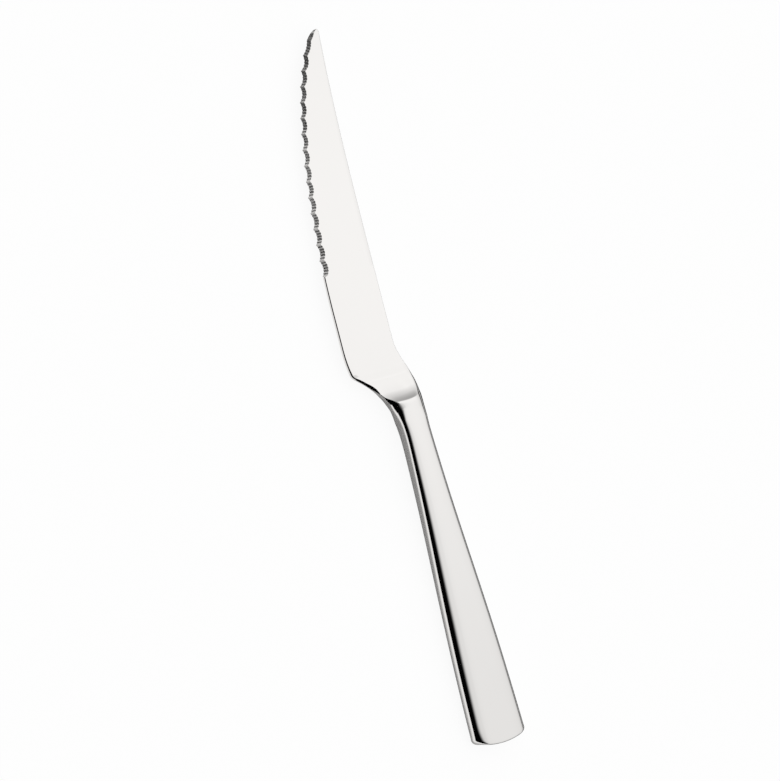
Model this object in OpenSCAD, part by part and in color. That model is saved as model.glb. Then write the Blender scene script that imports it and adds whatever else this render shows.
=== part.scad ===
// Steak knife with a serrated blade, a forged bolster and a square hollow handle.
// Stations are distances from the tip towards the butt and lie along -X.
// Sides are distances from the blade's own line, positive towards the cutting edge, and lie along +Y.

/* [Blade] */
// Length from the tip to the front of the handle's flat face
blade_l = 121.75; // [105:0.25:140]
// Depth of the cutting edge below the tip's line
blade_w = 18.8; // [16:0.1:21]
// Thickness at the heel
blade_t = 1.6; // [1.2:0.1:2.2]
// Thickness at the tip
tip_t = 0.9; // [0.6:0.1:1.1]
// Length of the curved front part of the edge
belly_run = 90; // [70:1:100]
// Distance from the heel's corner to the front of the handle's flat face
heel_gap = 10.9; // [9:0.1:14]
// How far the edge lifts just before the heel
heel_lift = 0.9; // [0.3:0.1:1.5]
// Length over which the edge lifts before the heel
heel_run = 8.5; // [5:0.5:12]
// Size of the rounded heel corner
heel_round = 0.9; // [0.5:0.1:1.5]
// How far the back stands above the tip's line just behind the tip
tip_rise = 0.68; // [0.1:0.02:1]
// Length over which the back rises from the tip
tip_round = 0.9; // [0.5:0.1:1.5]
// How far the back falls from there to its lowest part
spine_fall = 1.95; // [1:0.05:3]
// Station at which the back is lowest
fall_run = 80; // [60:1:95]

/* [Serration] */
// Distance between the points of the teeth
tooth_pitch = 5.06; // [4:0.02:6]
// Number of full scallops
tooth_count = 14; // [8:1:16]
// Length of the plain edge at the tip
tip_plain = 3; // [2:0.1:4]
// Station of the first tooth
first_tooth = 7.05; // [5.5:0.05:8]
// Depth of the shallow scallop ahead of the first tooth
tip_scallop_d = 0.32; // [0.2:0.02:0.7]
// Depth of a scallop
scallop_d = 0.7; // [0.4:0.05:1]
// Number of fine flutes in a scallop
flute_count = 5; // [3:1:7]
// Depth of a fine flute
flute_d = 0.18; // [0.08:0.01:0.25]
// Width left at the point of a tooth
tooth_land = 0.12; // [0.08:0.01:0.3]
// Angle of the ground band from the blade's face
grind_a = 45; // [35:1:55]

/* [Neck] */
// Length over which the back rises to the handle
neck_run = 15; // [12:0.5:22]
// Distance from the end of that rise to the front of the handle's flat face
neck_lead = 4.5; // [2:0.25:6]
// How far the back swells out round the front of the flat face
shoulder = 0.62; // [0:0.02:1.2]
// Half the length of that swelling
shoulder_run = 12; // [10:0.5:15]
// Distance from the middle of that swelling to the front of the handle's flat face
shoulder_lead = 1.5; // [0:0.25:3]
// Length of the concave curve from the heel to the handle
choil_run = 29; // [22:0.5:32]
// Radius of the cove between the blade's face and the handle's face
cove_r = 14; // [11:0.5:17]
// Radius, seen from the front, of the cove's bent end by the back
cove_plan_r = 16; // [13:0.5:20]
// Side at which that bend ends and the cove runs straight on
cove_side = 3.3; // [2:0.1:4]
// Distance from the front of the handle's flat face to the joint with the shells
joint_gap = 3; // [2:0.25:6]

/* [Handle] */
// Length from the front of the flat face to the butt
handle_l = 113.25; // [95:0.25:130]
// Thickness at the front
handle_t = 8.2; // [7:0.1:9]
// Thickness at the butt
butt_t = 6.9; // [6.5:0.1:8.5]
// Side of the handle's back at the neck, above the tip's line
neck_back = 2.45; // [1.5:0.05:3]
// Side of the handle's back at the butt, above the tip's line
butt_back = 8.95; // [7:0.05:11]
// Side of the handle's belly at the neck, below the tip's line
neck_belly = 5.65; // [5:0.05:6.5]
// Side of the handle's belly at the butt, below the tip's line
butt_belly = 8.85; // [7:0.05:10]
// How far the long sides bow in at the front and out at the back
side_bow = 0.4; // [0:0.01:0.6]
// Radius of the two long corners by the back
back_corner_r = 1.7; // [1.2:0.1:2.5]
// Extra radius of those corners beside the cove's crease
crease_corner = 0.8; // [0:0.1:1.8]
// Radius of the two long corners by the belly at the neck
neck_corner_r = 1.5; // [1.2:0.1:2]
// Radius of the two long corners by the belly at the butt
butt_corner_r = 3.4; // [2:0.1:4]
// Extra radius of the long corners by the belly in the choil's curve
choil_corner = 1.7; // [0:0.1:2]
// Distance from the front of the handle's flat face to where it is largest
choil_corner_lead = 1; // [0:0.25:2]
// How far to each side of that place it reaches
choil_corner_run = 4.5; // [3:0.5:9]
// Radius of the butt's end seen from the front
butt_arc_r = 22; // [16:0.5:30]
// Length over which the sides round off at the butt's end
butt_round = 1.3; // [0.8:0.1:2.5]
// Length over which the flat faces round off at the butt's end
butt_edge = 0.5; // [0.3:0.1:1]
// How far the flat faces drop there
butt_drop = 0.35; // [0.25:0.05:0.8]
// Length over which the sections take up the butt's arc
butt_run = 20; // [12:1:30]

/* [Inside] */
// Wall of the handle shells
wall = 0.9; // [0.7:0.05:1]
// Thickness of the solder between the two shells
seam_t = 0.3; // [0.2:0.05:0.5]
// Thickness of the solder between the bolster and the shells
collar_t = 0.3; // [0.2:0.05:0.5]
// Length of the tang behind the bolster
tang_l = 62; // [40:1:80]
// Width of the tang
tang_w = 4.4; // [3.5:0.1:5]
// Thickness of the tang
tang_t = 3; // [2:0.1:4]
// Radius of the notches in the tang's edges
notch_r = 0.9; // [0.5:0.1:1.2]
// Number of notches along each edge of the tang
notch_count = 4; // [2:1:5]

/* [Hidden] */
// Shape of the belly's curve and of the choil's curve
belly_power_share = 0.585;
choil_power_share = 3.25;
// Smallest corner radius inside the shells
inner_r = 0.2;
// Spacing of the outline's points on the blade and in the neck, and of the sections along the handle
blade_step = 3;
neck_step = 1;
handle_step = 9;
// Divisions of the tip's curves, a section's corner and flat face, the butt's end, a fine flute
// and the heel's corner
tip_steps = 4;
corner_steps = 5;
face_steps = 8;
butt_steps = 5;
flute_steps = 4;
heel_steps = 4;
// How deep the front of the bolster's cove lies inside the blade
sink = 0.1;
// Smoothness of the round cuts
round_fn = 64;
// Overrun of every cut
over = 1;

overall_l = blade_l + handle_l;
heel_s = blade_l - heel_gap;
joint_s = blade_l + joint_gap;
neck_s = blade_l - neck_lead;
block_s = heel_s + heel_round;
choil_end = heel_s + choil_run;

// The cove rises from the blade's face to the handle's face in front of the flat face
cove_rise = (handle_t - blade_t) / 2;
cove_s = blade_l - sqrt(pow(cove_r, 2) - pow(cove_r - cove_rise, 2));

// Slope of the handle's flat faces and the angle at which it lies on its back face
face_slope = (handle_t - butt_t) / 2 / handle_l;
lie_a = atan(face_slope);

// Point or number the share u of the way from a to b, and a smooth step from 0 to 1
function between(a, b, u) = a + (b - a) * u;
function ease(u) = u <= 0 ? 0 : u >= 1 ? 1 : u * u * (3 - 2 * u);

// Share of the way along the handle's long sides, and their bow there
function handle_share(s) = max(0, (s - neck_s) / (overall_l - neck_s));
function bow(s) = side_bow * sin(360 * handle_share(s));

// Side of the back at a station: a long dip on the blade, a rise in the neck, a swelling round the
// bolster, then the handle
function blade_back(s) =
    spine_fall * (1 - pow(max(0, 1 - s / fall_run), 3))
    - tip_rise * sqrt(min(1, max(0, s) / tip_round));
function swell(s) =
    shoulder * pow(max(0, 1 - pow((s - blade_l + shoulder_lead) / shoulder_run, 2)), 2);
function handle_back(s) =
    -neck_back - (butt_back - neck_back) * handle_share(s) + bow(s) - swell(s);
function back_side(s) =
    let (u = ease((s - neck_s + neck_run) / neck_run))
    between(blade_back(min(s, neck_s - neck_run)), handle_back(s), u);

// Side of the cutting edge at a station ahead of the heel
function edge_line(s) =
    let (u = min(1, s / belly_run))
    let (lift_share = max(0, 1 - (heel_s - s) / heel_run))
    blade_w * pow(1 - pow(1 - u, 2), belly_power_share) - heel_lift * pow(lift_share, 2);

// Side of the choil and of the handle's belly at a station behind the heel
function handle_belly(s) =
    neck_belly + (butt_belly - neck_belly) * handle_share(s) - bow(s);
function belly_side(s) =
    let (u = min(1, (s - heel_s) / choil_run))
    handle_belly(s) + (edge_line(heel_s) - neck_belly) * pow(1 - u, choil_power_share);

// Half thickness of the handle at a station
function half_t(s) = handle_t / 2 - face_slope * (s - blade_l);

// Radii of the long corners by the back and by the belly, larger beside the cove's crease
function choil_share(s) = pow(max(0, 1 - pow((s - blade_l - choil_corner_lead) / choil_corner_run, 2)), 2);
function back_r(s) = back_corner_r + crease_corner * choil_share(s);
function belly_r(s) =
    between(neck_corner_r, butt_corner_r, sin(90 * min(1, handle_share(s))))
    + choil_corner * choil_share(s);

// Half thickness of the blade at a station
function blade_half_t(s) = (tip_t + (blade_t - tip_t) * min(1, s / heel_s)) / 2;

// Stations from one to another in equal steps no longer than a given one, without the last
function steps(from, to, step) =
    let (n = max(1, ceil((to - from) / step)))
    [for (i = [0 : n - 1]) from + (to - from) * i / n];

function neck_stations() = concat(steps(block_s, blade_l, neck_step), [blade_l]);

// End of the plain tip and the teeth points behind it, each one pitch along the edge from the last
function edge_slope(s) = (edge_line(s + over) - edge_line(s - over)) / (2 * over);
function next_tooth(s) = s + tooth_pitch / sqrt(1 + pow(edge_slope(s + tooth_pitch / 2), 2));
function tooth_s(i) = i == 0 ? tip_plain : i == 1 ? first_tooth : next_tooth(tooth_s(i - 1));

// Stations from the tip to a given one, closest at the tip
function tip_stations(to) = [for (i = [1 : tip_steps]) to * pow(i / tip_steps, 2)];

// Corner of the heel, rounded between the edge and the choil
function heel_corner() =
    let (a = [heel_s - heel_round, edge_line(heel_s - heel_round)])
    let (b = [heel_s, edge_line(heel_s)])
    let (c = [heel_s + heel_round, belly_side(heel_s + heel_round)])
    [for (i = [0 : heel_steps])
        let (u = i / heel_steps) between(between(a, b, u), between(b, c, u), u)];

// How far the cove's end runs forwards at a side, by the back, and how far a ring follows it
function bend(side) =
    cove_plan_r - sqrt(pow(cove_plan_r, 2) - pow(max(0, cove_side - side), 2));
function bend_share(s) = ease((joint_s - s) / joint_gap);

// Station and side at which the ring of a station meets the back
function back_point(s) =
    let (first = s - bend_share(s) * bend(back_side(s)))
    let (second = s - bend_share(s) * bend(back_side(first)))
    let (side = back_side(s - bend_share(s) * bend(back_side(second))))
    [s - bend_share(s) * bend(side), side];

// A point given by its station and side
function place(p) = [-p[0], p[1]];

// Outline of the blade from the tip along the edge, round the heel, into the neck and back
function blade_outline() =
    let (teeth = [for (i = [1 : tooth_count + 1]) tooth_s(i)])
    let (plain = steps(tooth_s(tooth_count + 1) + blade_step, heel_s - heel_round, blade_step))
    let (choil = [for (s = neck_stations()) if (s > block_s) s])
    let (back = concat(
        tip_stations(tip_round),
        steps(tip_round + blade_step, fall_run, 2 * blade_step),
        [fall_run],
        steps(neck_s - neck_run, back_point(block_s)[0], neck_step)))
    let (back_points = concat(
        [for (s = back) [s, back_side(s)]],
        [for (s = neck_stations()) back_point(s)]))
    [for (p = concat(
        [[0, 0]],
        [for (s = concat(tip_stations(tip_plain), teeth, plain)) [s, edge_line(s)]],
        heel_corner(),
        [for (s = choil) [s, belly_side(s)]],
        [for (i = [len(back_points) - 1 : -1 : 0]) back_points[i]]
    )) place(p)];

// Points of a section between two sides, by side, face (1 front, -1 back) and height over or
// under the flat face. It is a rectangle with round corners, whose radii are given.
function ring(low, high, low_r, high_r) =
    let (corners = [for (k = [0 : 3]) [for (j = [0 : corner_steps])
        let (a = 90 * (k + j / corner_steps))
        let (r = k == 0 || k == 3 ? high_r : low_r)
        [(k == 0 || k == 3 ? high - r : low + r) + r * cos(a), k < 2 ? 1 : -1, r * (abs(sin(a)) - 1)]]])
    let (face = [for (i = [1 : face_steps - 1]) between(high - high_r, low + low_r, i / face_steps)])
    let (top = [for (y = face) [y, 1, 0]])
    let (bottom = [for (i = [face_steps - 2 : -1 : 0]) [face[i], -1, 0]])
    concat(corners[0], top, corners[1], corners[2], bottom, corners[3]);

// One section of the handle, drawn in by an inset. It follows the butt's arc more and more
// towards the butt. The drops tell how far its flat faces and sides have come in at the butt's end.
function section(s, inset, face_drop, side_drop) =
    let (low = back_side(s) + inset + side_drop)
    let (high = belly_side(s) - inset - side_drop)
    let (mid = (low + high) / 2)
    let (room = half_t(s) - inset - face_drop - inner_r)
    let (low_r = max(inner_r, min(room, back_r(s) - inset)))
    let (high_r = max(inner_r, min(room, belly_r(s) - inset)))
    let (arc_share = max(0, 1 - (overall_l - inset - s) / butt_run))
    let (arc_r = butt_arc_r - inset)
    [for (p = ring(low, high, low_r, high_r))
        let (sag = arc_share * (arc_r - sqrt(pow(arc_r, 2) - pow(p[0] - mid, 2))))
        [-(s - sag), p[0], p[1] * (half_t(s - sag) - inset - face_drop + p[2])]];

// Height to which the cove lets the bolster stand at a ring
function cove_height(s) =
    let (depth = s - cove_s)
    depth <= 0 ? blade_t / 2 - sink
    : s >= blade_l ? handle_t
    : blade_t / 2 + cove_r - sqrt(pow(cove_r, 2) - pow(depth, 2));

// One section of the bolster, bent forwards by the back as the cove is
function bolster_section(s) =
    let (room = half_t(s) - inner_r)
    [for (p = ring(back_point(s)[1], belly_side(s), min(room, back_r(s)), min(room, belly_r(s))))
        let (at = s - bend_share(s) * bend(p[0]))
        [-at, p[0], p[1] * min(half_t(at) + p[2], cove_height(s))]];

// Sections of the butt's rounded end
function butt_sections(inset) =
    let (end = overall_l - inset)
    let (run = max(inner_r, butt_round - inset))
    let (edge = max(inner_r, butt_edge - inset))
    let (drop = max(inner_r, butt_drop - inset))
    [for (j = [0 : butt_steps])
        let (a = 90 * j / butt_steps)
        let (s = end - run + run * sin(a))
        let (x = max(0, 1 - (end - s) / edge))
        section(s, inset, drop * (1 - sqrt(max(0, 1 - x * x))), run * (1 - cos(a)))];

// Sections of the handle at given stations
function body_sections(stations, inset) = [for (s = stations) section(s, inset, 0, 0)];

// Solid through a list of sections, closed by level strips at the front and at the back
module loft(sections) {
    n = len(sections[0]);
    last = (len(sections) - 1) * n;
    walls = [for (k = [0 : len(sections) - 2], i = [0 : n - 1])
        let (a = k * n + i)
        let (b = k * n + (i + 1) % n)
        each [[a, b, b + n], [a, b + n, a + n]]];
    front = [for (i = [0 : n / 2 - 2]) [i + 1, i, n - 1 - i, n - 2 - i]];
    rear = [for (i = [0 : n / 2 - 2])
        [last + i, last + i + 1, last + n - 2 - i, last + n - 1 - i]];
    polyhedron(points = [for (s = sections) each s], faces = concat(walls, front, rear));
}

// The closed outer or inner shape of the handle from a station to the butt
module handle_form(from, inset) {
    loft(concat(
        body_sections(concat(
            steps(from, choil_end, neck_step),
            steps(choil_end, overall_l - butt_run, handle_step),
            steps(overall_l - butt_run, overall_l - inset - butt_round, handle_step / 2)),
            inset),
        butt_sections(inset)));
}

// Slab across the whole handle between two heights
module level(low, high) {
    translate([-overall_l - over, -blade_w, low])
        cube([handle_l + over, 2 * blade_w, high - low]);
}

// Wheel that grinds one scallop with its fine flutes, from the edge inwards
module scallop_profile(width, depth) {
    slant_share = sin(grind_a);
    points = flute_count * flute_steps;
    cut = [for (i = [0 : points])
        let (u = 2 * i / points - 1)
        let (f = 2 * (i % flute_steps) / flute_steps - 1)
        [u * width / 2, -slant_share
            * (depth * (1 - u * u) + flute_d * (1 - f * f) * (1 - pow(u, 4)))]];
    polygon(concat([[-width / 2, over]], cut, [[width / 2, over]]));
}

module scallop_cut(i) {
    from = tooth_s(i - 1);
    to = tooth_s(i);
    run = to - from;
    fall = edge_line(to) - edge_line(from);
    chord = sqrt(pow(run, 2) + pow(fall, 2));
    mid = (from + to) / 2;
    translate([-mid, (edge_line(from) + edge_line(to)) / 2, -blade_half_t(mid)])
        rotate([0, 0, -atan2(fall, run)])
            rotate([90 - grind_a, 0, 0])
                linear_extrude(4 * blade_t, center = true)
                    scallop_profile(chord - tooth_land, i == 1 ? tip_scallop_d : scallop_d);
}

// Flat blade, thinner towards the tip, with the scallops ground from its front face
module flat_blade() {
    difference() {
        intersection() {
            linear_extrude(2 * blade_t, center = true) polygon(blade_outline());
            translate([0, 2 * blade_w, 0])
                rotate([90, 0, 0])
                    linear_extrude(4 * blade_w)
                        polygon([
                            [over, -blade_half_t(0)],
                            [over, blade_half_t(0)],
                            [0, blade_half_t(0)],
                            [-heel_s, blade_t / 2],
                            [-blade_l - over, blade_t / 2],
                            [-blade_l - over, -blade_t / 2],
                            [-heel_s, -blade_t / 2],
                            [0, -blade_half_t(0)]]);
        }
        for (i = [1 : tooth_count + 1]) scallop_cut(i);
    }
}

// Bolster: the handle's section carried forwards, with a cove ground into each face
module bolster() {
    loft([for (s = concat(neck_stations(), [(blade_l + joint_s) / 2, joint_s])) bolster_section(s)]);
}

// Tang: a flat bar down the middle of the handle, notched to key into the cement
module tang() {
    mid = (back_side(joint_s) + belly_side(joint_s)) / 2;
    gap = tang_l / (notch_count + 1);
    difference() {
        translate([-joint_s - tang_l, mid - tang_w / 2, -tang_t / 2])
            cube([tang_l + over, tang_w, tang_t]);
        for (i = [1 : notch_count], side = [-1, 1])
            translate([-joint_s - i * gap, mid + side * (tang_w + notch_r) / 2, 0])
                cylinder(h = 2 * tang_t, r = notch_r, center = true, $fn = round_fn);
    }
}

// Lays the knife on the flat back face of its handle, centred over the origin
module laid() {
    mid_y = (edge_line(belly_run) + back_side(overall_l)) / 2;
    translate([overall_l / 2, -mid_y, half_t(0) * cos(lie_a)])
        rotate([0, -lie_a, 0])
            children();
}

module blade() {
    color("silver") laid() {
        flat_blade();
        bolster();
        tang();
    }
}

module shell_walls() {
    difference() {
        handle_form(joint_s + collar_t, 0);
        handle_form(joint_s, wall);
    }
}

module front_handle_shell() {
    color("gainsboro") laid() intersection() {
        shell_walls();
        level(seam_t / 2, handle_t);
    }
}

module back_handle_shell() {
    color("lightgray") laid() intersection() {
        shell_walls();
        level(-handle_t, -seam_t / 2);
    }
}

module seam_solder() {
    color("darkgray") laid() intersection() {
        shell_walls();
        level(-seam_t / 2, seam_t / 2);
    }
}

module collar_solder() {
    color("darkgray") laid() difference() {
        loft(body_sections([joint_s, joint_s + collar_t], 0));
        handle_form(joint_s - over, wall);
    }
}

module handle_cement() {
    color("tan") laid() difference() {
        handle_form(joint_s, wall);
        tang();
    }
}

blade();
front_handle_shell();
back_handle_shell();
handle_cement();
collar_solder();
seam_solder();
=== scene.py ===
"""Steak knife: smooth polished surfaces and finishes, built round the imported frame."""

import math

import bmesh
import bpy
from bpy.props import FloatProperty, FloatVectorProperty, IntProperty, PointerProperty
from mathutils import Matrix, Vector


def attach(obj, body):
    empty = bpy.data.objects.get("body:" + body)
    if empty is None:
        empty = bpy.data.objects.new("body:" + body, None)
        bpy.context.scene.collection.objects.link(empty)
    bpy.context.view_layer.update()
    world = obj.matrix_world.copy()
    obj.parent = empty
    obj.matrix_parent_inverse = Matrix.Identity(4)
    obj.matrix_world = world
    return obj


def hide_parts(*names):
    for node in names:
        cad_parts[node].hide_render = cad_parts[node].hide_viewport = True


bl_info = {
    "name": "Steak knife",
    "version": (1, 0, 0),
    "blender": (4, 5, 0),
    "location": "3D View > Sidebar > Knife",
    "description": "Models a steak knife with a scalloped blade and a hollow steel handle",
    "category": "Object",
}

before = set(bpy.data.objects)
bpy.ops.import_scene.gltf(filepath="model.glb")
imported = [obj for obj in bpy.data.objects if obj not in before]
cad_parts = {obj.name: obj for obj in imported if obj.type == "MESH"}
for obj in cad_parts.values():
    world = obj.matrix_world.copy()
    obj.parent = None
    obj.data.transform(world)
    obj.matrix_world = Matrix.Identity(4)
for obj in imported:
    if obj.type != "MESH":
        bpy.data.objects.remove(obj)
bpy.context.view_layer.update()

MM = 0.001
BODY = "root"
BLADE_NODE = "blade"
FRONT_NODE = "front_handle_shell"
BACK_NODE = "back_handle_shell"
SEAM_NODE = "seam_solder"
COLLAR_NODE = "collar_solder"
CEMENT_NODE = "handle_cement"


def length(name, value, description):
    """A length in metres that shows in the sidebar."""
    return FloatProperty(
        name=name, description=description, default=value, unit="LENGTH", precision=5
    )


def number(name, value, description):
    """A plain number that shows in the sidebar."""
    return FloatProperty(name=name, description=description, default=value)


def angle(name, degrees, description):
    """An angle that shows in the sidebar."""
    return FloatProperty(
        name=name, description=description, default=math.radians(degrees), subtype="ANGLE"
    )


class KnifeBladeSizes(bpy.types.PropertyGroup):
    """Sizes of the blade, its serration and its bolster."""

    blade_l: length("Blade length", 121.75 * MM, "From the tip to the front of the flat face")
    blade_w: length("Blade depth", 18.8 * MM, "Depth of the cutting edge below the tip's line")
    blade_t: length("Heel thickness", 1.6 * MM, "Thickness of the blade at the heel")
    tip_t: length("Tip thickness", 0.9 * MM, "Thickness of the blade at the tip")
    belly_run: length("Belly", 90 * MM, "Length of the curved front part of the edge")
    belly_power: number("Belly shape", 0.585, "Fullness of the edge's curve")
    heel_gap: length("Heel gap", 10.9 * MM, "From the heel's corner to the front of the flat face")
    heel_lift: length("Heel lift", 0.9 * MM, "How far the edge lifts just before the heel")
    heel_run: length("Heel run", 8.5 * MM, "Length over which the edge lifts before the heel")
    heel_round: length("Heel corner", 0.9 * MM, "Size of the rounded heel corner")
    tip_rise: length("Tip rise", 0.68 * MM, "How far the back rises just behind the tip")
    tip_round: length("Tip round", 0.9 * MM, "Length over which the back rises from the tip")
    spine_fall: length("Back fall", 1.95 * MM, "How far it falls from there to its lowest part")
    fall_run: length("Fall run", 80 * MM, "Station at which the back is lowest")
    edge_round: length("Edge rounding", 0.12 * MM, "Radius of the flat blade's long edges")
    tooth_pitch: length("Tooth pitch", 5.1 * MM, "Distance between the points of the teeth")
    tooth_count: IntProperty(name="Scallops", description="Number of full scallops", default=14)
    tip_plain: length("Plain tip", 3.0 * MM, "Length of the plain edge at the tip")
    first_tooth: length("First tooth", 7.3 * MM, "Station of the first tooth's point")
    tip_scallop_d: length("Tip scallop", 0.32 * MM, "Depth of the scallop before the first tooth")
    scallop_d: length("Scallop depth", 0.7 * MM, "Depth of a scallop")
    flute_count: IntProperty(name="Flutes", description="Fine flutes in a scallop", default=5)
    flute_d: length("Flute depth", 0.18 * MM, "Depth of a fine flute")
    tip_grind: length("Tip grind", 1.12 * MM, "Width of the ground band by the tip")
    mid_grind: length("Middle grind", 0.99 * MM, "Width of the ground band half way")
    heel_grind: length("Heel grind", 1.15 * MM, "Width of the ground band at the last tooth")
    neck_run: length("Neck rise", 15 * MM, "Length over which the back rises to the handle")
    neck_lead: length("Neck lead", 4.5 * MM, "From the end of that rise to the flat face")
    shoulder: length("Shoulder", 0.62 * MM, "How far the back swells by the bolster")
    shoulder_run: length("Shoulder run", 12 * MM, "Half the length of that swelling")
    shoulder_lead: length("Shoulder lead", 1.5 * MM, "From its middle to the flat face's front")
    choil_run: length("Choil", 29 * MM, "Length of the hollow curve from the heel to the handle")
    choil_power: number("Choil shape", 3.25, "Hollowness of the choil")
    cove_r: length("Cove radius", 14 * MM, "Radius of the cove between the blade and the handle")
    cove_plan_r: length("Cove corner", 16 * MM, "Radius of the cove's corner seen from the front")
    cove_side: length("Cove side", 3.3 * MM, "Side at which the cove's corner ends")
    cove_soft: length("Cove softness", 0.08 * MM, "How far the cove's crease is polished down")
    back_soft: length("Back softness", 0.4 * MM, "How far it is polished down at the back")
    soft_run: length("Soft run", 3 * MM, "Distance from the middle line over which it gets softer")


class KnifeHandleSizes(bpy.types.PropertyGroup):
    """Sizes of the hollow handle."""

    handle_l: length("Handle length", 113.25 * MM, "From the front of the flat face to the butt")
    handle_t: length("Front thickness", 8.2 * MM, "Thickness of the handle at the front")
    butt_t: length("Butt thickness", 6.9 * MM, "Thickness of the handle at the butt")
    neck_back: length("Neck back", 2.45 * MM, "Side of the handle's back at the neck")
    butt_back: length("Butt back", 8.95 * MM, "Side of the handle's back at the butt")
    neck_belly: length("Neck belly", 5.65 * MM, "Side of the handle's belly at the neck")
    butt_belly: length("Butt belly", 8.85 * MM, "Side of the handle's belly at the butt")
    side_bow: length("Side bow", 0.4 * MM, "How far the long sides bow in and out")
    back_corner_r: length("Back corner", 1.7 * MM, "Radius of the long corners by the back")
    crease_corner: length("Crease corner", 0.8 * MM, "How much rounder they are by the crease")
    neck_corner_r: length("Neck corner", 1.5 * MM, "Radius of the belly's corners at the neck")
    butt_corner_r: length("Butt corner", 3.4 * MM, "Radius of the belly's corners at the butt")
    front_stretch: number("Front stretch", 0.25, "How much wider than deep the front corner is")
    choil_corner: length("Choil corner", 1.7 * MM, "How much rounder the corners are by the choil")
    choil_corner_lead: length("Choil corner lead", 1 * MM, "From the flat face to its fullest part")
    choil_corner_run: length("Choil corner run", 4.5 * MM, "How far in front of it that begins")
    choil_corner_tail: length("Choil corner tail", 6.1 * MM, "How far behind it that ends")
    wedge_lead: length("Wedge lead", 0.35 * MM, "From the flat face to the widest front corner")
    wedge_run: length("Wedge run", 3.5 * MM, "How far to each side that widening reaches")
    wedge_stretch: number("Wedge stretch", 0.8, "How much wider the front corner is there")
    neck_stretch: number("Neck stretch", -0.05, "Front stretch at the neck")
    neck_fullness: number("Neck fullness", 1.62, "Fullness of the neck's front corner, round at 2")
    neck_fade: length("Neck fade", 20 * MM, "Length over which it turns into the handle's corner")
    crown_run: length("Crown run", 3.2 * MM, "Width over which the faces fall to their corners")
    crown_drop: length("Crown drop", 0.05 * MM, "How far the flat faces have fallen there")
    butt_arc_r: length("Butt arc", 22 * MM, "Radius of the butt's end seen from the front")
    butt_round: length("Butt rounding", 1.3 * MM, "Length of the sides' rounding at the end")
    butt_edge: length("Butt edge", 0.5 * MM, "Length of the flat faces' rounding there")
    butt_drop: length("Butt drop", 0.35 * MM, "How far the flat faces drop there")
    butt_fullness: number("Butt fullness", 1.3, "Fullness of the butt's front corner, round at 2")
    fullness_run: length("Fullness run", 6 * MM, "Length over which the corner takes it up")
    butt_run: length("Butt run", 20 * MM, "Length over which the sections take up the arc")
    joint_gap: length("Joint", 3 * MM, "From the front of the flat face to the shells' joint")
    wall: length("Wall", 0.9 * MM, "Wall of the handle shells")
    seam_t: length("Seam", 0.3 * MM, "Thickness of the solder between the shells")
    collar_t: length("Collar", 0.3 * MM, "Thickness of the solder behind the bolster")
    tang_l: length("Tang length", 62 * MM, "Length of the tang behind the bolster")
    tang_w: length("Tang width", 4.4 * MM, "Width of the tang")
    tang_t: length("Tang thickness", 3 * MM, "Thickness of the tang")


class KnifeFinish(bpy.types.PropertyGroup):
    """Colours and finishes of the steel, and the view."""

    steel: FloatVectorProperty(
        name="Steel",
        description="Colour of the polished steel",
        subtype="COLOR",
        default=(0.93, 0.914, 0.897),
    )
    polish: number("Polish", 0.06, "Roughness of the polished steel")
    grind: number("Grind", 0.36, "Roughness of the ground serration")
    roll: angle("Roll", 22, "Angle by which the view leans over to the cutting edge")
    lean: angle("Lean", 14.55, "Angle of the knife from the picture's upright")
    distance: length("Distance", 1.2, "Distance of the camera from the knife")


def ease(u):
    """Smooth step from 0 to 1."""
    u = min(1.0, max(0.0, u))
    return u * u * (3 - 2 * u)


def swelling(off):
    """Smooth hump that is 1 in the middle and 0 from a distance of 1 on."""
    return max(0.0, 1 - off * off) ** 2


def between(a, b, u):
    """Point or number the share u of the way from a to b."""
    return a + (b - a) * u


def stepped(stops, at):
    """Level at a place between stops, which are pairs of place and level."""
    if at <= stops[0][0]:
        return stops[0][1]
    for (a, low), (b, high) in zip(stops, stops[1:]):
        if at <= b:
            return between(low, high, ease((at - a) / (b - a)))
    return stops[-1][1]


def slope(line, s, reach):
    """Slope of a line at a station, taken over a reach to each side."""
    return (line(s + reach) - line(s - reach)) / (2 * reach)


def quarter_turn(steps):
    """Angles from 0 to a right angle."""
    return [math.pi / 2 * i / steps for i in range(steps + 1)]


# Fullness of a round corner, where 1 is a flat chamfer
ROUND = 2
# Chamfer on the front along the plain edge, the heel and the choil: stations and sizes in mm
CHAMFER = (
    (79, 0.33), (100, 0.35), (107, 0.42), (110.5, 0.55), (113, 0.66), (115, 0.85), (116, 0.78),
    (117, 0.5), (118, 0.16), (119, 0.16), (121, 1.0),
)
# Its fullness by the station in mm
CHAMFER_FULLNESS = ((110, 1.25), (112.5, 1.0))
# Stations in mm between which it turns into the handle's corner
CHAMFER_TURN = (119.5, 127)
# Most times its size that it widens where the outline runs steeply across the knife
CHAMFER_SPREAD = 2.6
# Reach over which the outline's slope is taken for the chamfer, and the edge's for the teeth
CHAMFER_REACH = 0.2 * MM
TOOTH_REACH = 1 * MM
# Share of its radius at which the cove's arc stops, short of upright
COVE_END = 0.95


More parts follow.
